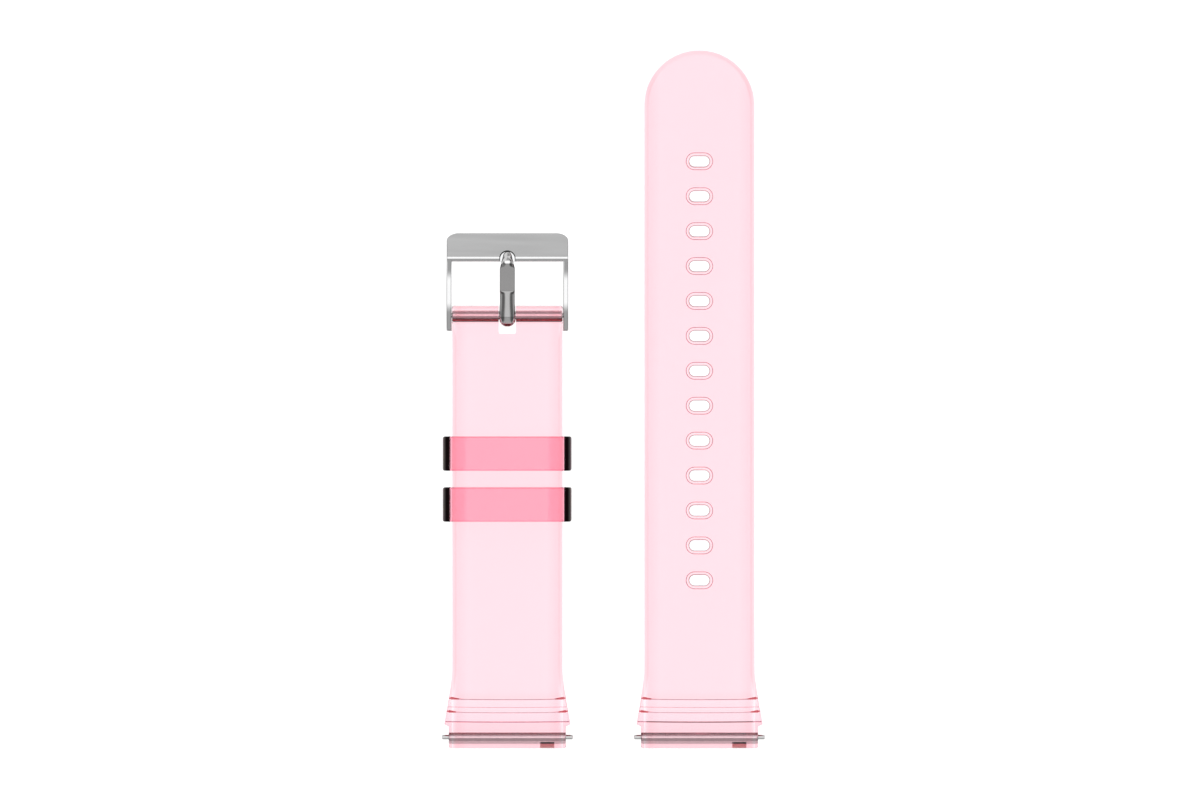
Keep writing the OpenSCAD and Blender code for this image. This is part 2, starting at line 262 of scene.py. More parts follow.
# ---------------------------------------------------------------- the straps
RIBS = [(-53.64, -52.08), (-51.2, -49.9)]
RIBS = [(a + 58.2 + Y_LOW, b + 58.2 + Y_LOW) for a, b in RIBS]
RIB_H = 0.4


def lug_top(y, base):
    if y <= Y_LUG:
        return Z_LUG + math.sqrt(max(TUBE_R ** 2 - (Y_LUG - y) ** 2, 0))
    neck = 2 * TUBE_R + (base + 0.1 - 2 * TUBE_R) * ease((y - Y_LUG) / (Y_SHOULDER - Y_LUG))
    rise = 0.0
    for lo, hi in RIBS:
        d = 0.1
        e = 0.19 if lo == RIBS[0][0] else d
        rise = max(rise, ease((y - lo + e / 2) / e) * ease((hi - y + d / 2) / d))
    skirt = 0.1 * (1 - ease((y - Y_SHOULDER) / 5.0)) if y > Y_SHOULDER else 0.0
    flat = base + skirt if y > Y_SHOULDER else neck
    return flat + (RIB_H - skirt) * rise


def lug_bottom(y):
    if y <= Y_LUG:
        return Z_LUG - math.sqrt(max(TUBE_R ** 2 - (Y_LUG - y) ** 2, 0))
    if y < Y_LOW + 2.2:
        return 0.02 * (y - Y_LUG) / (Y_LOW + 2.2 - Y_LUG)
    return 0.02 + (BASE_Z - 0.02) * ease((y - Y_LOW - 2.2) / 7.6)


def half_width(y):
    if y < Y_LOW + 0.35:
        return BLOCK_HW - 0.35 + math.sqrt(max(0.35 ** 2 - (Y_LOW + 0.35 - y) ** 2, 0))
    if y < Y_SHOULDER - 0.2:
        return BLOCK_HW
    if y < Y_SHOULDER + 0.3:
        t = (y - Y_SHOULDER + 0.2) / 0.5
        return BLOCK_HW + (FLARE_HW - BLOCK_HW) * ease(t)
    if y < FLARE_START:
        s = (FLARE_START - y) / (FLARE_START - Y_SHOULDER - 0.3)
        return HW + (FLARE_HW - HW) * s ** 1.3
    return HW


def edge_r(y):
    """radius of the long edges"""
    if y < Y_SHOULDER:
        return 0.3
    return 0.3 + 0.6 * ease((y - Y_SHOULDER) / 9.0)


def lug_ys():
    ys = [Y_LUG - TUBE_R * math.cos(math.radians(a)) for a in (3, 8, 14, 20, 27, 34, 42, 50, 58, 66, 74, 82, 90)]
    ys += [Y_LOW + 0.06, Y_LOW + 0.2, Y_LOW + 0.35]
    ys += list(np.linspace(Y_LUG + 0.3, Y_SHOULDER - 0.25, 6))
    ys += list(np.linspace(Y_SHOULDER - 0.2, Y_SHOULDER + 0.3, 8))
    for lo, hi in RIBS:
        for e in (lo, hi):
            ys += [e - 0.1, e - 0.05, e - 0.03, e - 0.01, e + 0.01, e + 0.03, e + 0.05, e + 0.1]
        ys += list(np.linspace(lo + 0.3, hi - 0.3, 3))
    ys += list(np.linspace(Y_SHOULDER + 0.4, FLARE_START + 0.2, 22))
    return ys


def strap_rings(ys, bot, top, x0, wid=half_width, rad=edge_r):
    rings = []
    for y in sorted(set(round(v, 4) for v in ys)):
        w, b, t = wid(y), bot(y), top(y)
        if t - b < 0.02:
            continue
        wedge = 0.0
        for _, hi in RIBS:
            if hi - 0.05 < y < hi + 0.8:
                wedge = 0.32 * ((y - hi + 0.05) / 0.1 if y < hi + 0.05 else 1 - (y - hi - 0.05) / 0.75)
        bow = 0.1 * ease((y - Y_SHOULDER) / 0.8) * (1 - ease((y - Y_LOW - 8.6) / 4.0))
        rings.append([(x0 + x, y - bow * (1 - (x / w) ** 2) + (wedge * ease((abs(x) - w + 2.4) / 1.9) if z > (b + t) / 2 else 0), z)
                      for x, z in section(w, b, t, rad(y), 16)])
    return rings


def oblong(a, b, n=16):
    """loop of an oblong, half length a along x and half width b"""
    pts = []
    for s, c0 in ((1, -90), (-1, 90)):
        for i in range(n + 1):
            t = math.radians(c0 + 180 * i / n)
            pts.append((s * (a - b) + b * math.cos(t), b * math.sin(t)))
    return pts


def hole_cutter(xc, yc, z_top):
    rings = []
    a, b, rim, ch, deep = 3.43 / 2 - 0.04, 1.82 / 2 - 0.04, 0.48, 0.12, 0.3
    for z, g in ((-0.5, ch + 0.5), (ch, 0), (z_top - deep - ch, 0), (z_top - deep, ch), (z_top - deep, rim),
                 (z_top - ch, rim), (z_top + 0.5, rim + ch + 0.5)):
        rings.append([(xc + x, yc + y, z) for x, y in oblong(a + g, b + g)])
    return obj_from("cutter", *loft(rings))


def bore_cutter(xc, yc, zc, half, r):
    prof = [(-half - 1, r + 1.08), (-half + 0.08, r), (half - 0.08, r), (half + 1, r + 1.08)]
    return obj_from("cutter", *lathe_x(prof, 64, (xc, yc, zc)))


def prism_cutter(loop, z0, z1, at=(0, 0)):
    rings = [[(at[0] + x, at[1] + y, z) for x, y in loop] for z in (z0, z1)]
    return obj_from("cutter", *loft(rings))


def window_cutter(xc):
    # the opening under and in front of the bar that the lever works in, with a step in its ceiling
    x0, x1 = LEVER_X - TRAVEL - 0.63, LEVER_X + 0.62
    rings = []
    prof = [(Y_LOW - 1, -1), (Y_LUG, -1), (Y_LUG, Z_LUG + 0.42), (WINDOW_Y, Z_LUG + 0.42), (WINDOW_Y - 0.02, Z_LUG + 0.36), (Y_LOW - 1, Z_LUG + 0.36)]
    for x in (x0, x1):
        rings.append([(xc + x, y, z) for y, z in prof])
    return obj_from("cutter", *loft(rings))


WINDOW_Y = Y_LOW + 1.08


def paint(ob, xc, lines, window=True, lowest=9):
    """gives the moulding's faces their materials; the edge lines, the hole rims and the lever window get dark tints
    that are painted shade: 0 body, 1 edge line, 2 deep edge line, 3 and 4 window, 5, 9 and 10 lower walls of the steps,
    6 a paler tint on the rib field, 7 and 8 hole rims and lips
    """
    for p in ob.data.polygons:
        c = Vector(p.center) / MM
        n = p.normal
        x = abs(c.x - xc)
        # the lever window's ceiling gets painted shade: black on one side of its step, a red shade band on the other
        if window and LEVER_X - TRAVEL - 0.65 < c.x - xc < LEVER_X + 0.64 and c.y < Y_LUG and Z_LUG + 0.3 < c.z < Z_LUG + 0.45 and n.z < -0.3:
            p.material_index = 3 if c.y > WINDOW_Y - 0.03 else 4
            continue
        if RIBS[0][0] < c.y < RIBS[1][1] and abs(n.z) > 0.8:
            p.material_index = 6
        # the walls of the steps get dark tints: painted shade lines, deeper towards the sides
        if Y_LOW + 4.2 < c.y < Y_SHOULDER + 6 and c.z > BASE_Z + T - 0.1 and abs(n.y) > 0.4 and x < half_width(c.y) - 0.05:
            deep = x > half_width(c.y) - 2.0
            upper = n.y > 0
            p.material_index = (2 if deep else 1) if upper else 5 if c.y > RIBS[0][1] else lowest if x < half_width(c.y) - 1.3 else 9
        if lines(c, n):
            p.material_index = 7 if c.z > T - 0.2 else 8


BORE_R = BAR_R + 0.05
TIGHT_R = BAR_R - 0.006


def buckle_half(mats):
    def top(y):
        t = lug_top(y, BASE_Z + T) if y < FLARE_START + 2 else BASE_Z + T
        if y > Y_PIN - 2.6:
            d = abs(y - Y_PIN)
            tube = math.sqrt(max(END_R ** 2 - d * d, 0)) if y > Y_PIN or d < 1.2 else 0
            if y > Y_PIN:
                return PIN_Z + tube
            k = 0.25  # soft meeting of the strap and the end tube
            h = T / 2
            return PIN_Z + max(h, tube) + max(k - abs(h - tube), 0) ** 2 / (4 * k)
        return t

    def bot(y):
        if y > Y_PIN - 2.6:
            return 2 * PIN_Z - top(y)
        return lug_bottom(y) if y < Y_LOW + 10.5 else BASE_Z

    def wid(y):
        if y > Y_END - 0.3:
            return HW - 0.3 + math.sqrt(max(0.09 - (y - Y_END + 0.3) ** 2, 0))
        return half_width(y)

    def rad(y):
        return edge_r(y) - 0.55 * ease((y - Y_PIN + 4.5) / 3.0)

    ys = lug_ys() + list(np.linspace(FLARE_START + 1, Y_PIN - 5, 12)) + list(np.linspace(Y_PIN - 4.5, Y_PIN, 30))
    ys += [Y_PIN + END_R * math.sin(math.radians(a)) for a in (8, 16, 24, 32, 40, 48, 56, 63, 70, 76, 82, 87)]
    ys += [Y_END - 0.3, Y_END - 0.18, Y_END - 0.08]
    ob = obj_from("strap_buckle_moulding", *loft(strap_rings(ys, bot, top, XA, wid, rad)), mats=mats)
    slot = prism_cutter(rounded_loop(1.44, 5, 0.35, 6), -2, 9, (XA, Y_PIN - 3.07 + 5))
    cut(ob, [bore_cutter(XA, Y_LUG, Z_LUG, BLOCK_HW, TIGHT_R), window_cutter(XA),
             bore_cutter(XA, Y_PIN, PIN_Z, HW, BORE_R), slot])
    paint(ob, XA, lambda c, n: False)
    return shade(ob)


def hole_half(mats):
    s0, s1 = Y_LOW + 12.2, Y_LOW + 24.2

    def lift(y):
        return BASE_Z * (1 - ease((y - s0) / (s1 - s0)))

    def top(y):
        return lug_top(y, BASE_Z + T) if y < s0 else lift(y) + T

    def bot(y):
        return lug_bottom(y) if y < s0 else lift(y)

    yc = Y_TIP - HW
    ys = lug_ys() + list(np.linspace(s0, s1, 24)) + [s1 + 1.5, s1 + 3, yc - 3, yc]
    rings = strap_rings(ys, bot, top, XB)
    flat = section(HW, 0, T, edge_r(yc), 16)
    n = 36
    for i in range(1, n + 1):
        a = math.pi / 2 * i / n
        rings.append([(XB + x * math.cos(a), yc + abs(x) * math.sin(a), z) for x, z in flat])
    ob = obj_from("strap_hole_moulding", *loft(rings, cap=False), mats=mats)
    # close the lug end, whose ring is the only open edge left
    bm = bmesh.new()
    bm.from_mesh(ob.data)
    edges = [e for e in bm.edges if len(e.link_faces) == 1]
    if edges:
        bmesh.ops.holes_fill(bm, edges=edges, sides=0)
    bmesh.ops.recalc_face_normals(bm, faces=bm.faces)
    bm.to_mesh(ob.data)
    bm.free()
    cutters = [bore_cutter(XB, Y_LUG, Z_LUG, BLOCK_HW, TIGHT_R), window_cutter(XB)]
    for i in range(13):
        cutters.append(hole_cutter(XB, Y_TIP - 18.54 - 5.82 * i, T))
    cut(ob, cutters)

    # the holes' sloping rims and lips get painted shade lines
    def lines(c, n):
        k = round((Y_TIP - 18.54 - c.y) / 5.82)
        near = 0 <= k <= 12 and abs(c.x - XB) < 2.6 and abs(c.y - (Y_TIP - 18.54 - 5.82 * k)) < 1.8
        return near and c.z > 1.0 and n.z > 0.2 and n.z < 0.97

    paint(ob, XB, lines, lowest=10)
    return shade(ob)


# ---------------------------------------------------------------- keepers
def keeper(name, node, mats):
    lo, hi = mm_box(node)
    hw, hz = (hi[0] - lo[0]) / 2, (hi[2] - lo[2]) / 2
    cx, cz = (hi[0] + lo[0]) / 2, (hi[2] + lo[2]) / 2
    wall = 1.15
    er = 0.34   # rounding of the ring's edges
    # the wall's own section: (inward distance from the outside, y)
    prof = []
    ends = [(er, lo[1] + er, 180, 270), (er, hi[1] - er, 90, 180), (wall - er, hi[1] - er, 0, 90), (wall - er, lo[1] + er, -90, 0)]
    for d, y, a0, a1 in [ends[0], ends[3], ends[2], ends[1]]:
        for i in range(6):
            a = math.radians(a0 + (a1 - a0) * i / 5)
            prof.append((d + er * math.cos(a), y + er * math.sin(a)))
    # crowned faces, so that the ring is softly moulded
    k = 8
    outer = rounded_loop(hw, hz, wall, k, 14, 5)
    inner = rounded_loop(hw - wall, hz - wall, 0.12, k, 14, 5)
    n = len(outer)
    rings = []
    for d, y in prof:
        f = d / wall
        rings.append([(cx + o[0] * (1 - f) + q[0] * f, y, cz + o[1] * (1 - f) + q[1] * f) for o, q in zip(outer, inner)])
    verts, faces = loft(rings, closed=True)
    # faces on the side walls take the second material, the painted shade
    side = []
    for f in faces:
        x = sum(verts[i][0] for i in f) / len(f) - cx
        side.append(1 if abs(x) > hw - wall + 0.005 else 0)
    ob = obj_from(name, verts, faces, mats, side)
    return shade(ob, 60)


# ---------------------------------------------------------------- buckle
def arm_top(y):
    return 1.55 - 1.15 * ((y - 4.45) / 5.7) ** 2


def arm_bottom(y):
    return -0.9 - 0.25 * (1 - ease((y - 1.5) / 6.0))


def frame_mesh(mats):
    # plate: its side profile carried across x, with elliptical far corners
    def prof(x):
        ax = abs(x)
        far = PLATE_FAR
        if ax > ARM_OUT - 2.0:
            u = min((ax - (ARM_OUT - 2.0)) / 2.0, 1.0)
            far = PLATE_FAR - 1.3 * (1 - math.sqrt(max(1 - u * u, 0)))
        # near edge: dark chamfer, then a bright bevel that is almost flat
        pts = [(PLATE_NEAR, -PLATE_HT + 0.12), (PLATE_NEAR, PLATE_HT - 0.33), (PLATE_NEAR + 0.03, PLATE_HT - 0.29),
               (PLATE_NEAR + 0.38, PLATE_HT - 0.07), (PLATE_NEAR + 0.41, PLATE_HT - 0.055), (PLATE_NEAR + 0.72, PLATE_HT - 0.012),
               (PLATE_NEAR + 0.75, PLATE_HT)]
        for i in range(5):
            a = math.radians(90 - 90 * i / 4)
            pts.append((far - 0.12 + 0.12 * math.cos(a), PLATE_HT - 0.12 + 0.12 * math.sin(a)))
        for i in range(5):
            a = math.radians(-90 * i / 4)
            pts.append((far - 0.4 + 0.4 * math.cos(a), -PLATE_HT + 0.4 + 0.4 * math.sin(a)))
        for i in range(4):
            a = math.radians(-90 - 80 * i / 3)
            pts.append((PLATE_NEAR + 0.12 + 0.12 * math.cos(a), -PLATE_HT + 0.12 + 0.12 * math.sin(a)))
        return pts

    xs = []
    e = 0.14
    for i in range(6):
        a = math.radians(90 * i / 5)
        xs.append(((ARM_OUT - e) + e * math.sin(a), e * (1 - math.cos(a))))
    for i in range(1, 13):
        xs.append((ARM_OUT - 2.0 * (i / 12) - e * (1 - i / 12), 0.0))
    xs = sorted(xs, reverse=True)
    full = [(x, d) for x, d in xs] + [(x, 0.0) for x in (5.5, 3.0)] + [(-x, 0.0) for x in (3.0, 5.5)] + [(-x, d) for x, d in reversed(xs)]
    rings = []
    for x, d in full:
        p = prof(x)
        cy = sum(q[0] for q in p) / len(p)
        cz = 0.0
        ring = []
        for y, z in p:   # the ends are rounded by drawing the profile in by d
            ry, rz = y - cy, z - cz
            ly = max(abs(ry) - d, 0) * (1 if ry > 0 else -1)
            lz = max(abs(rz) - d, 0) * (1 if rz > 0 else -1)
            ring.append((x, cy + ly, cz + lz))
        rings.append(ring)
    plate = obj_from("buckle_frame_metal", *loft(rings), mats=mats, at=PIN)
    # arms: a rounded section lofted along y, arched on top
    arms = []
    for s in (-1, 1):
        rings = []
        xc = s * (ARM_IN + ARM_OUT) / 2
        hw = (ARM_OUT - ARM_IN) / 2
        ys = [-2.53 + 0.9 * (1 - math.cos(math.radians(a))) for a in (6, 18, 30, 42, 54, 66, 78, 90)]
        ys += list(np.linspace(-1.3, PLATE_NEAR + 0.9, 34))
        for y in ys:
            t, b = arm_top(y), arm_bottom(y)
            if y < -1.63:
                u = (y + 2.53) / 0.9
                h = (t - b) / 2 * (0.42 + 0.58 * math.sqrt(max(1 - (1 - u) ** 2, 0)))
                m = (t + b) / 2
                t, b = m + h, m - h
            t = min(t, PLATE_HT - 0.35) if y > PLATE_NEAR + 0.3 else t
            rings.append([(xc + x, y, z) for x, z in section(hw, b, t, 0.13, 4, 4)])
        arms.append(obj_from("arm", *loft(rings), at=PIN))
    holes = []
    for s in (-1, 1):
        x0, x1 = (ARM_IN - 0.5, ARM_IN + 0.6)
        holes.append(obj_from("hole", *lathe_x([(s * x0, TIP_R + 0.04), (s * x1, TIP_R + 0.04)], 40), at=PIN))
    # seat for the prong's point: a flat-bottomed pocket, open towards the pin, with drafted walls
    yc, z0, r = PLATE_NEAR + 0.42, PLATE_HT - 0.57, 1.35
    rings = []
    for z, g in ((z0, -0.16), (z0 + 0.03, -0.1), (z0 + 0.09, -0.07), (z0 + 0.5, -0.01), (z0 + 0.57, 0.02), (z0 + 1.57, 0.6)):
        loop = [(-(r + g), yc - 3, z), (r + g, yc - 3, z)]
        loop += [((r + g) * math.cos(math.radians(a)), yc + (r + g) * math.sin(math.radians(a)), z) for a in range(0, 181, 6)]
        rings.append(loop)
    seat = obj_from("seat", *loft(rings), at=PIN)
    cut(plate, arms, "UNION")
    cut(plate, holes + [seat])
    inv = PIN.inverted()
    up = (PIN.to_3x3() @ Vector((0, 0, 1))).normalized()
    for p in plate.data.polygons:
        c = inv @ (Vector(p.center) / MM)
        p.material_index = 0 if (p.normal.dot(up) > 0.995 and c.y > PLATE_NEAR + 0.76 and c.z > PLATE_HT - 0.005) else 1
    shade(plate, 28, False)
    for p in plate.data.polygons:
        c = inv @ (Vector(p.center) / MM)
        d = p.normal.dot(up)
        if PLATE_NEAR < c.y < PLATE_NEAR + 0.75 and c.z > PLATE_HT - 0.35 and 0.7 < d < 0.9999:
            p.use_smooth = False
    bm = bmesh.new()
    bm.from_mesh(plate.data)
    for e in bm.edges:
        if len(e.link_faces) == 2 and all(f.normal.dot(up) > 0.95 for f in e.link_faces) and e.calc_face_angle(0) > math.radians(1.0):
            if all((inv @ (v.co / MM)).y > PLATE_NEAR - 0.02 for v in e.verts):
                e.smooth = False
    bm.to_mesh(plate.data)
    bm.free()
    m = plate.modifiers.new("normals", "WEIGHTED_NORMAL")
    m.mode = "FACE_AREA"
    m.weight = 60
    m.keep_sharp = True
    apply_all(plate)
    return plate


def oval(w, h, f, m=10):
    """ring of a formed strip's section, from a rounded rectangle (f = 0) to an ellipse (f = 1)"""
    e = 2 / (2 + 24 * (1 - f) ** 1.5)
    out = []
    for q in range(4 * m):
        a = math.pi / 2 - 2 * math.pi * (q + 0.5) / (4 * m)
        c, d = math.cos(a), math.sin(a)
        out.append((w * math.copysign(abs(c) ** e, c), h * math.copysign(abs(d) ** (e * (1 + 0.35 * f)), d)))
    return out


def knuckle(y):
    """half width of the prong's rounded knuckle"""
    full = 1.36
    if y < -0.46:
        return full * math.sqrt(max(1 - ((y + 0.46) / 1.42) ** 2, 0))
    return full - (full - 1.25) * ease((y + 0.46) / 2.2)


def prong_mesh(mats):
    """one formed strip: point, body, and a loop curled round the bar"""
    path = []   # (y, z, half width, half thickness, ovalness), from the point to the loop's end
    for y, z, w, h, f in [
            (10.62, 0.665, 0.06, 0.06, 1), (10.6, 0.67, 0.2, 0.14, 1), (10.53, 0.68, 0.36, 0.24, 1),
            (10.38, 0.705, 0.56, 0.34, 1), (10.15, 0.76, 0.68, 0.4, 1), (9.9, 0.82, 0.74, 0.44, 1),
            (9.65, 0.89, 0.79, 0.48, 1), (9.45, 0.98, 0.84, 0.52, 1), (9.25, 1.09, 0.885, 0.55, 1), (9.1, 1.153, 0.92, 0.57, 0.93),
            (8.95, 1.178, 0.955, 0.58, 0.88), (8.75, 1.186, 1.005, 0.585, 0.88), (8.6, 1.19, 1.04, 0.588, 0.9), (8.5, 1.194, 1.06, 0.588, 1), (8.35, 1.197, 1.1, 0.588, 1),
            (8.1, 1.2, 1.165, 0.587, 0.9), (7.95, 1.2, 1.2, 0.586, 0.7), (7.8, 1.205, 1.23, 0.584, 0.3),
            (7.6, 1.21, 1.245, 0.58, 0.0), (7.1, 1.213, 1.25, 0.58, 0.0),
            (6.0, 1.22, 1.25, 0.58, 0.0), (5.0, 1.225, 1.25, 0.58, 0.0), (4.0, 1.235, 1.25, 0.58, 0.03), (3.8, 1.24, 1.25, 0.576, 0.35),
            (3.62, 1.245, 1.25, 0.57, 0.9), (3.45, 1.25, 1.25, 0.565, 1), (2.8, 1.27, 1.25, 0.555, 1), (2.0, 1.29, 1.25, 0.545, 1),
            (1.2, 1.305, knuckle(1.2), 0.53, 1), (0.5, 1.315, knuckle(0.5), 0.52, 1)]:
        path.append(((y, z), w, h, f))
    rm = (1.84 + 0.80) / 2
    hh = (1.84 - 0.80) / 2
    for i in range(0, 41):
        a = math.radians(90 + 322 * i / 40)
        t = ease((i - 34) / 6) if i > 34 else 0
        y = rm * math.cos(a)
        w = knuckle(y * 1.84 / rm) if i < 34 else 1.3
        path.append(((y, rm * math.sin(a)), max(w, 0.42), hh * (1 - 0.55 * t), min(1, max(0.5, 1 - 0.1 * (i - 4)))))
    rings = []
    for i, ((y, z), w, h, f) in enumerate(path):
        p0 = path[max(i - 1, 0)][0]
        p1 = path[min(i + 1, len(path) - 1)][0]
        if i == 0:
            p0 = (path[0][0][0] + 0.1, path[0][0][1])
        d = Vector((p1[0] - p0[0], p1[1] - p0[1])).normalized()
        nrm = Vector((d.y, -d.x))   # outward, away from the bar
        rings.append([(x, y + nrm.x * q, z + nrm.y * q) for x, q in oval(w, h, f)])
    ob = obj_from("buckle_prong_metal", *loft(rings), mats=mats, at=PIN)
    inv = PIN.inverted()
    # one steel painted at three levels: painted shade on the flat body, painted highlight on the curl, painted light on
    # the point
    for p in ob.data.polygons:
        c = inv @ (Vector(p.center) / MM)
        p.material_index = 2 if c.y > 8.53 else 0 if c.y > 3.75 else 1
        # the knuckle's sides get a painted dark pink reflection of the strap
        if c.y < 0.75 and (p.normal.z < 0.42 or abs(p.normal.x) > 0.86):
            p.material_index = 3
    return shade(ob, 50)


# ---------------------------------------------------------------- bars
def tube_mesh(name, mat, half, centre, left_cap, right_cap, rh):
    """barrel of a spring bar with chamfered ends and swaged caps"""
    ri, c = BAR_R - 0.15, 0.07
    out = [(-half, BAR_R - c), (-half + c, BAR_R), (half - c, BAR_R), (half, BAR_R - c)]
    inn = [(half, rh + 0.03), (half - 0.05, rh), (half - 0.35, rh), (half - 0.35, ri)] if right_cap else [(half, ri)]
    inn += [(-half + 0.35, ri), (-half + 0.35, rh), (-half + 0.05, rh), (-half, rh + 0.03)] if left_cap else [(-half, ri)]
    return obj_from(name, *lathe_x(out + inn, 56, centre, closed=True), mats=[mat])


def rod_mesh(name, mat, prof, centre, seg=40):
    ob = obj_from(name, *lathe_x(prof, seg, centre), mats=[mat])
    return shade(ob, 30)


def spring_mesh(name, mat, x0, x1, centre, wire=0.085, mean=0.4, pitch=0.85):
    turns = max(round(abs(x1 - x0) / pitch), 3)
    n, m = 22 * turns, 10
    rings = []
    for i in range(n + 1):
        u = i / n
        a = 2 * math.pi * turns * u
        x = x0 + (wire + (x1 - x0 - 2 * wire) * u if x1 > x0 else -wire + (x1 - x0 + 2 * wire) * u)
        c = Vector((x, mean * math.cos(a), mean * math.sin(a)))
        tan = Vector(((x1 - x0) / (2 * math.pi * turns), -mean * math.sin(a), mean * math.cos(a))).normalized()
        rad = Vector((0, math.cos(a), math.sin(a)))
        bi = tan.cross(rad)
        rings.append([tuple(Vector(centre) + c + rad * (wire * math.cos(2 * math.pi * j / m)) + bi * (wire * math.sin(2 * math.pi * j / m)))
                      for j in range(m)])
    ob = obj_from(name, *loft(rings), mats=[mat])
    return shade(ob, 60, False)


def lever_frame(xc):
    dip = math.radians(50)
    down = Vector((0, -math.cos(dip), -math.sin(dip)))
    rot = Vector((0, 0, 1)).rotation_difference(down).to_matrix().to_4x4()
    return Matrix.Translation((xc + LEVER_X, Y_LUG, Z_LUG)) @ rot


def lever_mesh(name, mat, xc):
    seg = 36
    prof = [(0.3, 0.22), (0.55, 0.22), (0.55, 0.4), (0.6, 0.45), (1.86, 0.45), (1.95, 0.41), (2.0, 0.33)]
    rings = [[(r * math.cos(2 * math.pi * j / seg), r * math.sin(2 * math.pi * j / seg), z) for j in range(seg)] for z, r in prof]
    ob = obj_from(name, *loft(rings), mats=[mat], at=lever_frame(xc))
    return shade(ob, 30)


def slot_cutter(xc):
    """the slot in a lug bar's barrel that the lever stands in"""
    loop = rounded_loop((TRAVEL + 1.04) / 2, 0.5, 0.35, 5)
    rings = [[(x - TRAVEL / 2, y, z) for x, y in loop] for z in (0, 3)]
    return obj_from("cutter", *loft(rings), at=lever_frame(xc))


# ---------------------------------------------------------------- materials
def material(name):
    m = bpy.data.materials.new(name)
    m.use_nodes = True
    nt = m.node_tree
    bsdf = nt.nodes["Principled BSDF"]
    return m, nt, bsdf


def noise(nt, scale, detail=2.0, stretch=(1, 1, 1), rough=0.5):
    tc = nt.nodes.new("ShaderNodeTexCoord")
    mp = nt.nodes.new("ShaderNodeMapping")
    mp.inputs["Scale"].default_value = stretch
    nz = nt.nodes.new("ShaderNodeTexNoise")
    nz.inputs["Scale"].default_value = scale
    nz.inputs["Detail"].default_value = detail
    nz.inputs["Roughness"].default_value = rough
    nt.links.new(tc.outputs["Object"], mp.inputs["Vector"])
    nt.links.new(mp.outputs["Vector"], nz.inputs["Vector"])
    return nz


def ranged(nt, src, lo, hi, f0=0.3, f1=0.7):
    mr = nt.nodes.new("ShaderNodeMapRange")
    mr.inputs["From Min"].default_value = f0
    mr.inputs["From Max"].default_value = f1
    mr.inputs["To Min"].default_value = lo
    mr.inputs["To Max"].default_value = hi
    nt.links.new(src, mr.inputs["Value"])
    return mr.outputs["Result"]


def bump(nt, bsdf, height, strength, distance):
    b = nt.nodes.new("ShaderNodeBump")
    b.inputs["Strength"].default_value = strength
    b.inputs["Distance"].default_value = distance
    nt.links.new(height, b.inputs["Height"])
    nt.links.new(b.outputs["Normal"], bsdf.inputs["Normal"])
    return b


def side_mask(nt, bands):
    """distance from the nearer band's centre line, in mm along x, turned into a factor by (mm, value) stops"""
    tc = nt.nodes.new("ShaderNodeTexCoord")
    sep = nt.nodes.new("ShaderNodeSeparateXYZ")
    nt.links.new(tc.outputs["Object"], sep.inputs["Vector"])
    dist = None
    for c in (XA, XB):
        sub = nt.nodes.new("ShaderNodeMath")
        sub.operation = "SUBTRACT"
        sub.inputs[1].default_value = c * MM
        nt.links.new(sep.outputs["X"], sub.inputs[0])
        ab = nt.nodes.new("ShaderNodeMath")
        ab.operation = "ABSOLUTE"
        nt.links.new(sub.outputs["Value"], ab.inputs[0])
        if dist is None:
            dist = ab.outputs["Value"]
        else:
            mn = nt.nodes.new("ShaderNodeMath")
            mn.operation = "MINIMUM"
            nt.links.new(dist, mn.inputs[0])
            nt.links.new(ab.outputs["Value"], mn.inputs[1])
            dist = mn.outputs["Value"]
    lo, hi = bands[0][0], bands[-1][0]
    mr = nt.nodes.new("ShaderNodeMapRange")
    mr.inputs["From Min"].default_value = lo * MM
    mr.inputs["From Max"].default_value = hi * MM
    nt.links.new(dist, mr.inputs["Value"])
    ramp = nt.nodes.new("ShaderNodeValToRGB")
    els = ramp.color_ramp.elements
    for i, (d, v) in enumerate(bands):
        pos = (d - lo) / (hi - lo)
        e = els[i] if i < 2 else els.new(pos)
        e.position = pos
    for e, (d, v) in zip(sorted(els, key=lambda q: q.position), bands):
        e.color = (*(v if isinstance(v, tuple) else (v, v, v)), 1)
    nt.links.new(mr.outputs["Result"], ramp.inputs["Fac"])
    return ramp.outputs["Color"]


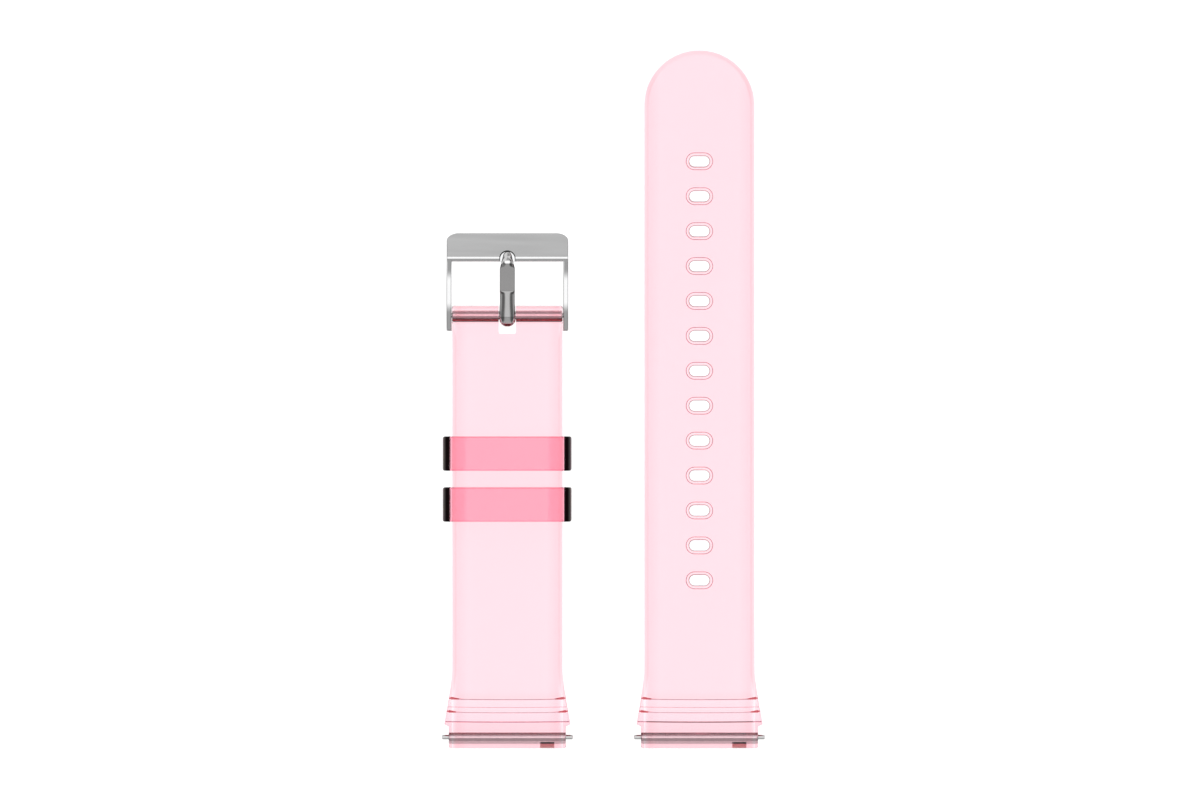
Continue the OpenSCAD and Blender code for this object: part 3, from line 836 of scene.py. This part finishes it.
def tpu(name, absorb, density, tint, deeper=None, bands=None, rough=(0.02, 0.06)):
    """clear moulded polyurethane: surface gloss with faint mould texture, colour from its depth; the side bands are a
    painted tint, on the straps a painted shade band inboard of the edges and a paler painted rim, on the keepers deeper
    towards the sides
    """
    m, nt, s = material(name)
    s.inputs["Transmission Weight"].default_value = 1.0
    s.inputs["IOR"].default_value = 1.5
    fine = noise(nt, 900, 3.0)
    broad = noise(nt, 60, 2.0)
    nt.links.new(ranged(nt, broad.outputs["Fac"], rough[0], rough[1]), s.inputs["Roughness"])
    mix = nt.nodes.new("ShaderNodeMix")
    mix.data_type = "RGBA"
    v0, v1 = ((1, 1, 1), (0.985, 0.985, 0.985)) if bands else ([min(c * 1.004, 1) for c in tint], [c * 0.992 for c in tint])
    mix.inputs["A"].default_value = (*v0, 1)
    mix.inputs["B"].default_value = (*v1, 1)
    nt.links.new(broad.outputs["Fac"], mix.inputs["Factor"])
    colour = mix.outputs["Result"]
    if bands:
        band = nt.nodes.new("ShaderNodeMix")
        band.data_type = "RGBA"
        band.blend_type = "MULTIPLY"
        band.inputs["Factor"].default_value = 1.0
        nt.links.new(colour, band.inputs["A"])
        stops = [(d, tuple(min(c * (1 + f * (e - 1)), 1.0) for c, e in zip(tint, deeper))) for d, f in bands]
        nt.links.new(side_mask(nt, stops), band.inputs["B"])
        colour = band.outputs["Result"]
    nt.links.new(colour, s.inputs["Base Color"])
    bump(nt, s, fine.outputs["Fac"], 0.015, 0.0001)
    if density > 0:
        v = nt.nodes.new("ShaderNodeVolumeAbsorption")
        v.inputs["Color"].default_value = (*absorb, 1)
        v.inputs["Density"].default_value = density
        nt.links.new(v.outputs["Volume"], nt.nodes["Material Output"].inputs["Volume"])
    return m


def metal(name, dark, light, rough, streak=None, bump_amount=0.05):
    m, nt, s = material(name)
    s.inputs["Metallic"].default_value = 1.0
    if streak:
        nz = noise(nt, 900, 3.0, streak, 0.6)
    else:
        nz = noise(nt, 350, 3.0)
    wear = noise(nt, 120, 3.0)
    mix = nt.nodes.new("ShaderNodeMix")
    mix.data_type = "RGBA"
    mix.inputs["A"].default_value = (*dark, 1)
    mix.inputs["B"].default_value = (*light, 1)
    nt.links.new(nz.outputs["Fac"], mix.inputs["Factor"])
    nt.links.new(mix.outputs["Result"], s.inputs["Base Color"])
    nt.links.new(ranged(nt, (nz if streak else wear).outputs["Fac"], rough[0], rough[1]), s.inputs["Roughness"])
    bump(nt, s, nz.outputs["Fac"], bump_amount, 0.00004)
    return m


def painted_highlight_loop_steel(name, dark, light, rough):
    """polished steel whose curl over the bar is painted brighter, a painted highlight"""
    m, nt, s = material(name)
    s.inputs["Metallic"].default_value = 1.0
    nz = noise(nt, 350, 3.0)
    mix = nt.nodes.new("ShaderNodeMix")
    mix.data_type = "RGBA"
    mix.inputs["A"].default_value = (*dark, 1)
    mix.inputs["B"].default_value = (*light, 1)
    nt.links.new(nz.outputs["Fac"], mix.inputs["Factor"])
    tc = nt.nodes.new("ShaderNodeTexCoord")
    sep = nt.nodes.new("ShaderNodeSeparateXYZ")
    nt.links.new(tc.outputs["Object"], sep.inputs["Vector"])
    y0 = (PIN @ Vector((0, -0.22, 1.8))).y * MM
    y1 = (PIN @ Vector((0, -0.7, 1.7))).y * MM
    # brighter base colour towards the top of the curl: painted highlight
    grade = nt.nodes.new("ShaderNodeMix")
    grade.data_type = "RGBA"
    grade.inputs["B"].default_value = (0.5, 0.495, 0.495, 1)
    nt.links.new(mix.outputs["Result"], grade.inputs["A"])
    nt.links.new(ranged(nt, sep.outputs["Y"], 0.0, 1.0, y0, y1), grade.inputs["Factor"])
    nt.links.new(grade.outputs["Result"], s.inputs["Base Color"])
    nt.links.new(ranged(nt, nz.outputs["Fac"], rough[0], rough[1]), s.inputs["Roughness"])
    bump(nt, s, nz.outputs["Fac"], 0.05, 0.00004)
    return m


def painted_shade_side_wall(name):
    """the keepers' side walls: painted shade, near black on top, with a paler painted highlight on their outer faces"""
    m, nt, s = material(name)
    nz = noise(nt, 500, 2.0)
    mix = nt.nodes.new("ShaderNodeMix")
    mix.data_type = "RGBA"
    mix.blend_type = "MULTIPLY"
    mix.inputs["Factor"].default_value = 0.3
    ramp = side_mask(nt, [(9.5, (0.012, 0.002, 0.003)), (10.02, (0.003, 0.0006, 0.001)), (10.16, (0.014, 0.008, 0.009)), (10.34, (0.06, 0.05, 0.048)),
                          (10.5, (0.125, 0.105, 0.102)), (10.64, (0.36, 0.3, 0.3)), (10.71, (0.42, 0.34, 0.35))])
    nt.links.new(ramp, mix.inputs["A"])
    nt.links.new(nz.outputs["Color"], mix.inputs["B"])
    nt.links.new(mix.outputs["Result"], s.inputs["Base Color"])
    nt.links.new(ranged(nt, nz.outputs["Fac"], 0.2, 0.3), s.inputs["Roughness"])
    s.inputs["Specular IOR Level"].default_value = 0.04
    s.inputs["IOR"].default_value = 1.5
    bump(nt, s, nz.outputs["Fac"], 0.03, 0.00005)
    return m


# flat stand-ins for light: painted shade in the lever window, and a painted dark pink reflection on the prong's knuckle
def painted_shade_mat(name, a, b):
    m, nt, s = material(name)
    nz = noise(nt, 500, 2.0)
    mix = nt.nodes.new("ShaderNodeMix")
    mix.data_type = "RGBA"
    mix.inputs["A"].default_value = (*a, 1)
    mix.inputs["B"].default_value = (*b, 1)
    nt.links.new(nz.outputs["Fac"], mix.inputs["Factor"])
    nt.links.new(mix.outputs["Result"], s.inputs["Base Color"])
    nt.links.new(ranged(nt, nz.outputs["Fac"], 0.35, 0.5), s.inputs["Roughness"])
    return m


# bands across the straps' width: a painted shade band inboard of the edges and a paler painted rim at the very edges
EDGE_PAINTED_SHADE_BANDS = [(6.6, 0.0), (7.6, 0.6), (8.1, 1.0), (8.45, 0.9), (8.75, 0.0), (8.95, -1.6), (9.2, -3.6), (9.3, 0.0)]
CLEAR = tpu("clear_pink_tpu", (1.0, 0.4, 0.568), 80.0, (1.0, 0.738, 0.78), (1.0, 0.925, 0.935), EDGE_PAINTED_SHADE_BANDS)
# dark tints for the lines at the steps of the lug end: painted shade lines
EDGE_LINE_SHADE = tpu("clear_pink_edge_painted_shade", (1.0, 0.4, 0.568), 80.0, (0.56, 0.45, 0.51))
DEEP_EDGE_SHADE = tpu("clear_pink_deep_edge_painted_shade", (1.0, 0.4, 0.568), 80.0, (0.34, 0.018, 0.024))
LOWER_EDGE_SHADE = tpu("clear_pink_lower_edge_painted_shade", (1.0, 0.4, 0.568), 80.0, (0.22, 0.1, 0.15))
LOWEST_EDGE_SHADE = tpu("clear_pink_lowest_edge_painted_shade", (1.0, 0.4, 0.568), 80.0, (0.3, 0.09, 0.14))
SHADED = tpu("clear_pink_shaded_edge", (1.0, 0.4, 0.568), 80.0, (0.012, 0.0015, 0.0025))
# the lever window's ceiling: painted black shade and a painted red shade band
WINDOW_PAINTED_SHADE = painted_shade_mat("lever_window_painted_shade", (0.012, 0.007, 0.008), (0.02, 0.012, 0.013))
WINDOW_PAINTED_RED_SHADE = painted_shade_mat("lever_window_painted_red_shade", (0.97, 0.35, 0.36), (1.0, 0.4, 0.41))
RIB = tpu("clear_pink_rib_field", (1.0, 0.4, 0.568), 80.0, (1.0, 0.81, 0.852), (1.0, 0.925, 0.935), EDGE_PAINTED_SHADE_BANDS)
# dark tints for the hole rims and lips: painted shade lines
HOLE_RIM_SHADE = tpu("clear_pink_hole_rim_painted_shade", (1.0, 0.4, 0.568), 80.0, (0.3, 0.1, 0.14))
HOLE_LIP_SHADE = tpu("clear_pink_hole_lip_painted_shade", (1.0, 0.4, 0.568), 80.0, (0.22, 0.16, 0.175))
STRAP_MATS = [CLEAR, EDGE_LINE_SHADE, DEEP_EDGE_SHADE, WINDOW_PAINTED_SHADE, WINDOW_PAINTED_RED_SHADE, LOWER_EDGE_SHADE, RIB, HOLE_RIM_SHADE, HOLE_LIP_SHADE, LOWEST_EDGE_SHADE, SHADED]
KEEP = tpu("clear_deeper_pink_tpu", (1.0, 0.3, 0.45), 0.0, (1.0, 0.665, 0.742), (1.0, 0.9, 0.93), [(6.6, 0.0), (7.4, 1.0), (9.3, 1.0), (9.6, 0.4)])
# painted shade and painted highlight on the keepers' side walls
KEEPER_SIDE_PAINTED_SHADE = painted_shade_side_wall("keeper_side_wall_painted_shade")
BRUSHED = metal("brushed_plate_steel", (0.286, 0.286, 0.287), (0.316, 0.316, 0.317), (0.3, 0.4), (0.05, 1, 1), 0.12)
POLISHED = metal("polished_frame_steel", (0.48, 0.48, 0.483), (0.53, 0.53, 0.533), (0.05, 0.12))
# the prong's steel at three levels: painted shade on the body, painted highlight on the curl and painted light on the
# point
PRONG_PAINTED_SHADE = metal("polished_prong_steel_painted_shade", (0.145, 0.143, 0.143), (0.165, 0.162, 0.162), (0.12, 0.2))
LOOP_PAINTED_HIGHLIGHT = painted_highlight_loop_steel("polished_loop_steel_painted_highlight", (0.24, 0.238, 0.238), (0.27, 0.267, 0.267), (0.1, 0.18))
# painted dark pink reflection of the strap on the prong's knuckle
KNUCKLE_PINK_REFLECTION = painted_shade_mat("knuckle_painted_pink_reflection", (0.36, 0.025, 0.03), (0.42, 0.035, 0.04))
POINT_PAINTED_LIGHT = metal("polished_point_steel_painted_light", (0.5, 0.495, 0.495), (0.56, 0.555, 0.555), (0.06, 0.12))
TURNED = metal("turned_bar_steel", (0.46, 0.455, 0.455), (0.53, 0.525, 0.525), (0.1, 0.2), (1, 0.15, 0.15))
WIRE = metal("spring_wire_steel", (0.35, 0.35, 0.36), (0.5, 0.5, 0.51), (0.2, 0.35))

# ---------------------------------------------------------------- build and attach
ob = buckle_half(STRAP_MATS)
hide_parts("strap_buckle_side"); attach(ob, "buckle_half")
ob = hole_half(STRAP_MATS)
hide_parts("strap_hole_side"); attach(ob, "hole_half")
for which in ("upper", "lower"):
    ob = keeper(f"keeper_{which}_ring", f"keeper_{which}", [KEEP, KEEPER_SIDE_PAINTED_SHADE])
    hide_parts(f"keeper_{which}"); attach(ob, f"{which}_keeper")
ob = frame_mesh([BRUSHED, POLISHED])
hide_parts("buckle_frame"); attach(ob, "frame")
ob = prong_mesh([PRONG_PAINTED_SHADE, LOOP_PAINTED_HIGHLIGHT, POINT_PAINTED_LIGHT, KNUCKLE_PINK_REFLECTION])
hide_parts("buckle_prong"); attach(ob, "prong")

pin_c = (XA, Y_PIN, PIN_Z)
ob = shade(tube_mesh("buckle_bar_barrel", TURNED, PIN_HALF, pin_c, True, True, TIP_R + 0.04), 30)
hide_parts("buckle_bar_tube"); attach(ob, "buckle_half")
SL = BAR_R - 0.18
for s, side in ((-1, "left"), (1, "right")):
    prof = [(PIN_HALF - 3.35, SL - 0.06), (PIN_HALF - 3.29, SL), (PIN_HALF - 0.46, SL), (PIN_HALF - 0.4, SL - 0.06),
            (PIN_HALF - 0.4, TIP_R), (ARM_IN + 0.5, TIP_R), (ARM_IN + 0.58, TIP_R - 0.1)]
    prof = [(s * x, r) for x, r in prof]
    ob = rod_mesh(f"buckle_bar_pin_{side}", TURNED, prof, pin_c)
    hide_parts(f"buckle_bar_tip_{side}"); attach(ob, f"buckle_tip_{side}")
    x_in = s * (PIN_HALF - 3.37)
    coil = spring_mesh(f"buckle_bar_coil_{side}", WIRE, 0.0, x_in, pin_c)
    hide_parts("buckle_bar_spring")
    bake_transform(coil)

for tag, xc, body in (("a", XA, "buckle_half"), ("b", XB, "hole_half")):
    c = (xc, Y_LUG, Z_LUG)
    ob = tube_mesh(f"lug_bar_{tag}_barrel", TURNED, LUG_HALF, c, False, True, NECK_IN + 0.03)
    cut(ob, [slot_cutter(xc)])
    shade(ob, 30)
    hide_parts(f"lug_bar_{tag}_tube"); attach(ob, body)
    tip = BLOCK_HW + 1.15
    prof = [(-tip, TIP_R - 0.1), (-tip + 0.1, TIP_R), (-BLOCK_HW, TIP_R), (-BLOCK_HW, NECK_OUT), (-LUG_HALF - 0.03, NECK_OUT + 0.01), (-LUG_HALF - 0.03, BAR_R - 0.18),
            (-LUG_HALF, BAR_R - 0.155), (-LUG_HALF + 3.59, BAR_R - 0.155), (-LUG_HALF + 3.65, BAR_R - 0.22)]
    ob = rod_mesh(f"lug_bar_{tag}_fixed_pin", TURNED, prof, c)
    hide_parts(f"lug_bar_{tag}_fixed_tip"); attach(ob, body)
    prof = [(LUG_HALF - 4.45, SL - 0.06), (LUG_HALF - 4.39, SL), (LUG_HALF - 0.46, SL), (LUG_HALF - 0.4, SL - 0.06),
            (LUG_HALF - 0.4, NECK_IN), (BLOCK_HW, NECK_OUT), (BLOCK_HW, TIP_R), (tip - 0.1, TIP_R), (tip, TIP_R - 0.1)]
    ob = rod_mesh(f"lug_bar_{tag}_sliding_pin", TURNED, prof, c)
    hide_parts(f"lug_bar_{tag}_plunger"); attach(ob, f"release_{tag}")
    ob = lever_mesh(f"lug_bar_{tag}_release_lever", TURNED, xc)
    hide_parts(f"lug_bar_{tag}_lever"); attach(ob, f"release_{tag}")
    x0, x1 = -LUG_HALF + 3.67, LUG_HALF - 4.47
    coil = spring_mesh(f"lug_bar_{tag}_coil", WIRE, x0, x1, c)
    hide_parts(f"lug_bar_{tag}_spring")
    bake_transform(coil)

# ---------------------------------------------------------------- floor, light, camera
me = bpy.data.meshes.new("floor")
s = 6.0
me.from_pydata([(-s, -s, -0.00012), (s, -s, -0.00012), (s, s, -0.00012), (-s, s, -0.00012)], [], [(0, 1, 2, 3)])
floor = bpy.data.objects.new("floor", me)
bpy.context.scene.collection.objects.link(floor)
m, nt, b = material("pale_floor")
nz = noise(nt, 30, 2.0)
mix = nt.nodes.new("ShaderNodeMix")
mix.data_type = "RGBA"
mix.inputs["A"].default_value = (0.24, 0.24, 0.24, 1)
mix.inputs["B"].default_value = (0.26, 0.26, 0.26, 1)
nt.links.new(nz.outputs["Fac"], mix.inputs["Factor"])
nt.links.new(mix.outputs["Result"], b.inputs["Base Color"])
b.inputs["Roughness"].default_value = 0.9
b.inputs["Specular IOR Level"].default_value = 0.0
b.inputs["Emission Color"].default_value = (1, 1, 1, 1)
b.inputs["Emission Strength"].default_value = 1.0
me.materials.append(m)

world = bpy.data.worlds.new("studio")
bpy.context.scene.world = world
world.use_nodes = True
nt = world.node_tree
bg = nt.nodes["Background"]
tc = nt.nodes.new("ShaderNodeTexCoord")
sep = nt.nodes.new("ShaderNodeSeparateXYZ")
nt.links.new(tc.outputs["Generated"], sep.inputs["Vector"])


def mr(src, f0, f1, t0, t1, smooth=True):
    n = nt.nodes.new("ShaderNodeMapRange")
    n.interpolation_type = "SMOOTHSTEP" if smooth else "LINEAR"
    n.inputs["From Min"].default_value = f0
    n.inputs["From Max"].default_value = f1
    n.inputs["To Min"].default_value = t0
    n.inputs["To Max"].default_value = t1
    nt.links.new(src, n.inputs["Value"])
    return n.outputs["Result"]


def math_node(op, a, b):
    n = nt.nodes.new("ShaderNodeMath")
    n.operation = op
    for i, v in enumerate((a, b)):
        if isinstance(v, (int, float)):
            n.inputs[i].default_value = v
        else:
            nt.links.new(v, n.inputs[i])
    return n.outputs["Value"]


# a large soft overhead light that falls away towards the horizon, and a thin pale horizon
ax = math_node("ABSOLUTE", sep.outputs["X"], 0)
ay = math_node("ABSOLUTE", math_node("SUBTRACT", sep.outputs["Y"], 0.15), 0)
side = math_node("MAXIMUM", mr(ax, 0.24, 0.5, 1.0, 0.2), mr(ax, 0.69, 0.9, 0.0, 0.6))
fall = math_node("MULTIPLY", side, mr(ay, 0.24, 0.48, 1.0, 0.34))
level = math_node("MULTIPLY", fall, 1.95)
line = mr(math_node("ABSOLUTE", sep.outputs["Z"], 0), 0.08, 0.26, 1.15, 0.0)
card = math_node("MULTIPLY", mr(sep.outputs["X"], -0.14, -0.04, 1.15, 0.0), mr(sep.outputs["Y"], 0.36, 0.46, 0.0, 1.0))
total = math_node("MAXIMUM", math_node("MAXIMUM", level, line), card)
nt.links.new(total, bg.inputs["Strength"])
bg.inputs["Color"].default_value = (1, 1, 1, 1)

cam_data = bpy.data.cameras.new("camera")
cam_data.lens = 200
cam_data.sensor_width = 36
cam_data.clip_start = 0.05
cam_data.clip_end = 50
cam = bpy.data.objects.new("camera", cam_data)
cam.location = (-0.00057, -0.000125, 0.2 * 200 / 36 + 0.002)
cam.rotation_euler = (0, 0, 0)
bpy.context.scene.collection.objects.link(cam)
sc = bpy.context.scene
sc.camera = cam
sc.view_settings.view_transform = "Standard"
sc.view_settings.look = "None"
sc.cycles.use_denoising = True
sc.cycles.max_bounces = 24
sc.cycles.transmission_bounces = 20
sc.cycles.transparent_max_bounces = 16
sc.cycles.glossy_bounces = 8
sc.cycles.diffuse_bounces = 4
sc.cycles.sample_clamp_indirect = 6.0
